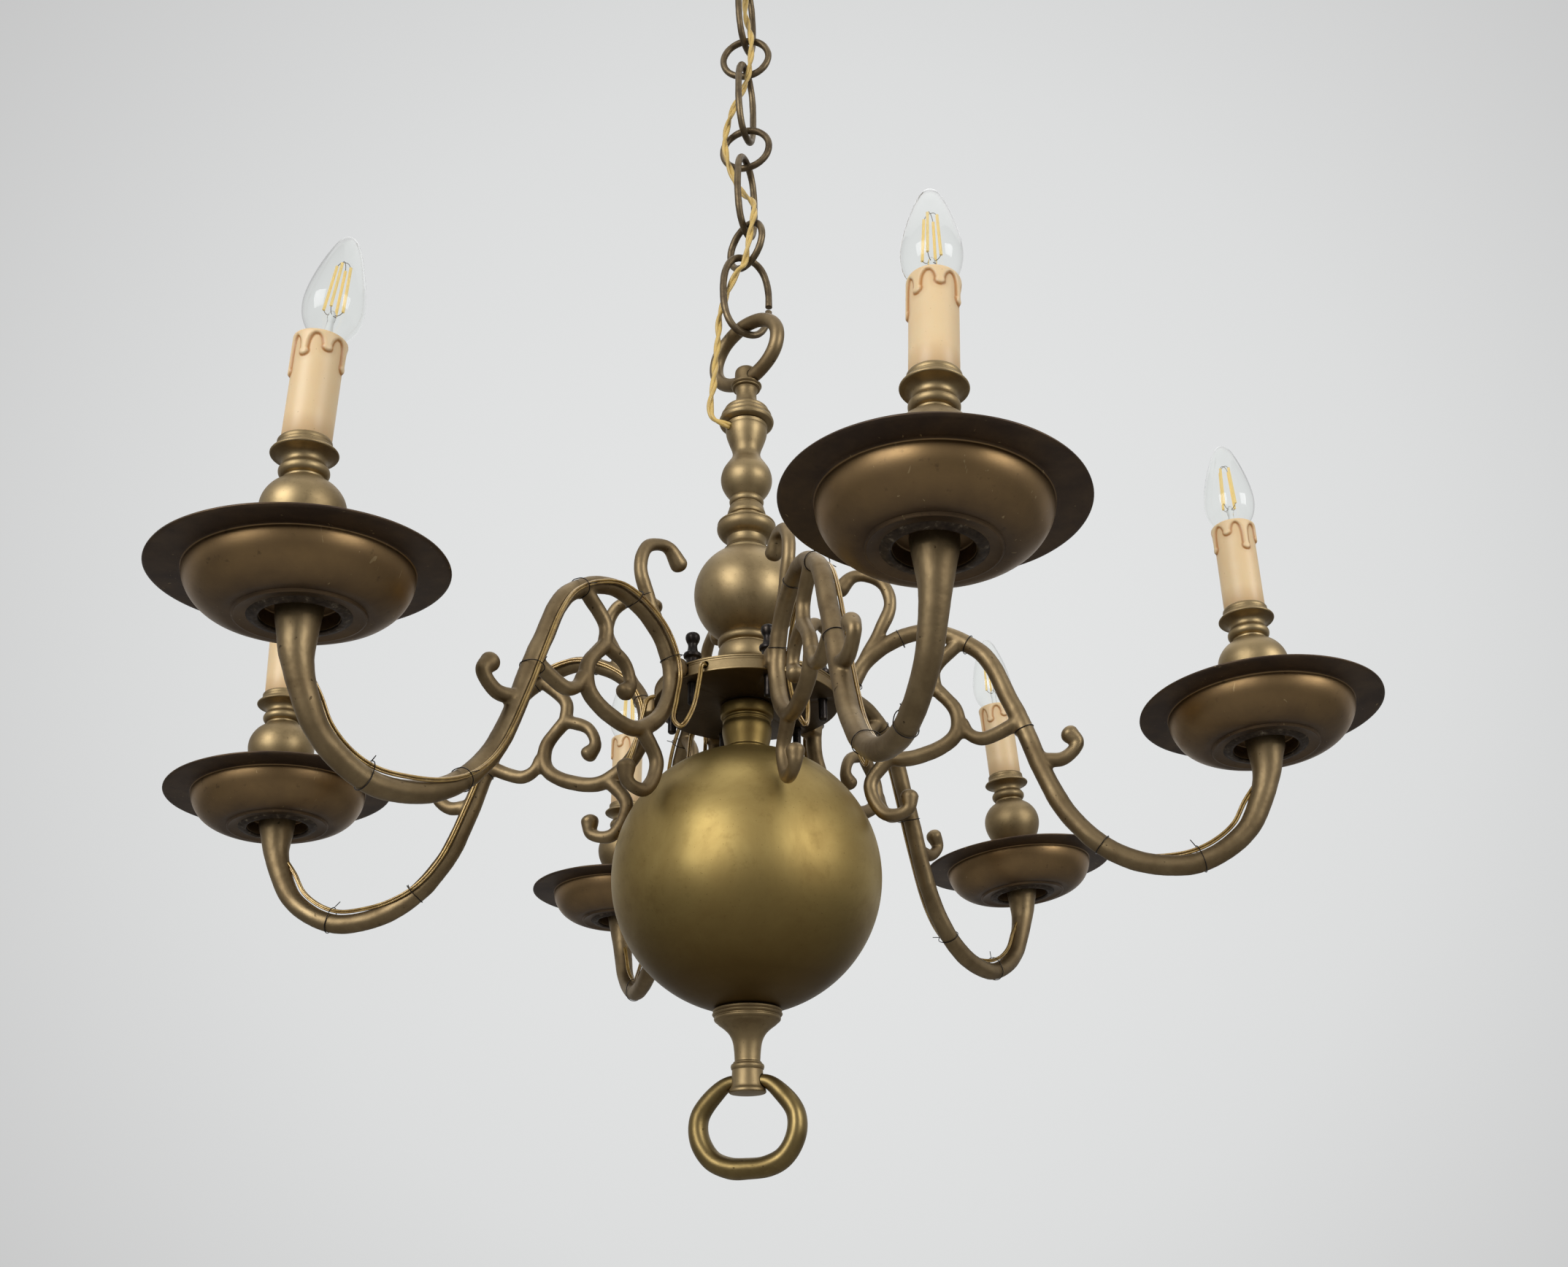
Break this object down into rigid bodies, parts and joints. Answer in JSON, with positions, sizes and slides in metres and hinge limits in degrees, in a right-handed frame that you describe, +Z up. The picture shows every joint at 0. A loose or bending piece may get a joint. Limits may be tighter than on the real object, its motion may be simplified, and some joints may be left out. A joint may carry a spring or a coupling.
{
  "type": "chandelier",
  "caption": "Ball chandelier of aged cast brass: scrolled arms pinned to a drum above a hollow ball, each with a drip pan and candle lamp, hung on an iron chain with its supply cord.",
  "frame": {"origin": "centre of the ceiling rose's back face, on the ceiling", "axes": "+Z up out of the ceiling face, -Y towards the viewer of the picture, +X to their right"},
  "size_m": [0.8408, 0.8257, 1.075],
  "materials": {
    "brass": "aged, dull polished with brown patina",
    "aged_brass": "dark cast, pitted",
    "iron": "bare iron wire, brown grey",
    "blackened_steel": "blackened, satin",
    "wax_sleeve": "cream wax look, satin",
    "lampholder": "off-white, semi gloss",
    "bulb_glass": "clear",
    "supply_cord": "gold twisted",
    "flex": "clear golden insulation"
  },
  "bodies": {
    "rose": {"ceiling_rose": "brass", "supply_cord": "supply_cord"},
    "link_7": {"chain_link_7": "iron"},
    "link_6": {"chain_link_6": "iron"},
    "link_5": {"chain_link_5": "iron"},
    "link_4": {"chain_link_4": "iron"},
    "link_3": {"chain_link_3": "iron"},
    "link_2": {"chain_link_2": "iron"},
    "link_1": {"chain_link_1": "iron"},
    "hanging_ring": {"suspension_ring": "aged_brass"},
    "chandelier": {"stem_rod": "brass", "upper_baluster": "brass", "upper_ball": "brass", "arm_plate": "brass", "main_ball": "brass", "bottom_finial": "brass", "arm_wiring": "flex", "arm_a": "aged_brass", "drip_pan_a": "brass", "candle_cup_a": "brass", "candle_sleeve_a": "wax_sleeve", "lamp_socket_a": "lampholder", "bulb_a": "bulb_glass", "arm_b": "aged_brass", "drip_pan_b": "brass", "candle_cup_b": "brass", "candle_sleeve_b": "wax_sleeve", "lamp_socket_b": "lampholder", "bulb_b": "bulb_glass", "arm_c": "aged_brass", "drip_pan_c": "brass", "candle_cup_c": "brass", "candle_sleeve_c": "wax_sleeve", "lamp_socket_c": "lampholder", "bulb_c": "bulb_glass", "arm_d": "aged_brass", "drip_pan_d": "brass", "candle_cup_d": "brass", "candle_sleeve_d": "wax_sleeve", "lamp_socket_d": "lampholder", "bulb_d": "bulb_glass", "arm_e": "aged_brass", "drip_pan_e": "brass", "candle_cup_e": "brass", "candle_sleeve_e": "wax_sleeve", "lamp_socket_e": "lampholder", "bulb_e": "bulb_glass", "arm_f": "aged_brass", "drip_pan_f": "brass", "candle_cup_f": "brass", "candle_sleeve_f": "wax_sleeve", "lamp_socket_f": "lampholder", "bulb_f": "bulb_glass"},
    "pull_ring": {"pull_ring": "brass"},
    "pin_a": {"arm_pin_a": "blackened_steel"},
    "pin_b": {"arm_pin_b": "blackened_steel"},
    "pin_c": {"arm_pin_c": "blackened_steel"},
    "pin_d": {"arm_pin_d": "blackened_steel"},
    "pin_e": {"arm_pin_e": "blackened_steel"},
    "pin_f": {"arm_pin_f": "blackened_steel"}
  },
  "joints": [
    {"name": "link_7_swing", "type": "hinge", "parent": "rose", "child": "link_7", "pos_m": [0, 0, -0.06325], "axis": [0.9659, -0.2588, 0], "range_deg": [-20, 20], "deforming": ["supply_cord"]},
    {"name": "link_6_swing", "type": "hinge", "parent": "link_7", "child": "link_6", "pos_m": [0, 0, -0.13], "axis": [0.309, 0.9511, 0], "range_deg": [-20, 20]},
    {"name": "link_5_swing", "type": "hinge", "parent": "link_6", "child": "link_5", "pos_m": [0, 0, -0.16325], "axis": [0.9781, -0.2079, 0], "range_deg": [-20, 20]},
    {"name": "link_4_swing", "type": "hinge", "parent": "link_5", "child": "link_4", "pos_m": [0, 0, -0.2305], "axis": [0.309, 0.9511, 0], "range_deg": [-20, 20]},
    {"name": "link_3_swing", "type": "hinge", "parent": "link_4", "child": "link_3", "pos_m": [0, 0, -0.26375], "axis": [0.9659, -0.2588, 0], "range_deg": [-20, 20]},
    {"name": "link_2_swing", "type": "hinge", "parent": "link_3", "child": "link_2", "pos_m": [0, 0, -0.331], "axis": [0.342, 0.9397, 0], "range_deg": [-20, 20]},
    {"name": "link_1_swing", "type": "hinge", "parent": "link_2", "child": "link_1", "pos_m": [0, 0, -0.36425], "axis": [0.6428, -0.766, 0], "range_deg": [-20, 20]},
    {"name": "hanging_ring_swing", "type": "hinge", "parent": "link_1", "child": "hanging_ring", "pos_m": [0, 0, -0.4315], "axis": [0.9063, 0.4226, 0], "range_deg": [-20, 20]},
    {"name": "chandelier_swing", "type": "hinge", "parent": "hanging_ring", "child": "chandelier", "pos_m": [0, 0, -0.4755], "axis": [0.7071, -0.7071, 0], "range_deg": [-15, 15]},
    {"name": "pull_ring_swing", "type": "hinge", "parent": "chandelier", "child": "pull_ring", "pos_m": [0, 0, -1.01585], "axis": [0.9659, -0.2588, 0], "range_deg": [-60, 60]},
    {"name": "pin_a_lift", "type": "slide", "parent": "chandelier", "child": "pin_a", "axis": [0, 0, 1], "range_m": [0, 0.03]},
    {"name": "pin_b_lift", "type": "slide", "parent": "chandelier", "child": "pin_b", "axis": [0, 0, 1], "range_m": [0, 0.03]},
    {"name": "pin_c_lift", "type": "slide", "parent": "chandelier", "child": "pin_c", "axis": [0, 0, 1], "range_m": [0, 0.03]},
    {"name": "pin_d_lift", "type": "slide", "parent": "chandelier", "child": "pin_d", "axis": [0, 0, 1], "range_m": [0, 0.03]},
    {"name": "pin_e_lift", "type": "slide", "parent": "chandelier", "child": "pin_e", "axis": [0, 0, 1], "range_m": [0, 0.03]},
    {"name": "pin_f_lift", "type": "slide", "parent": "chandelier", "child": "pin_f", "axis": [0, 0, 1], "range_m": [0, 0.03]}
  ]
}
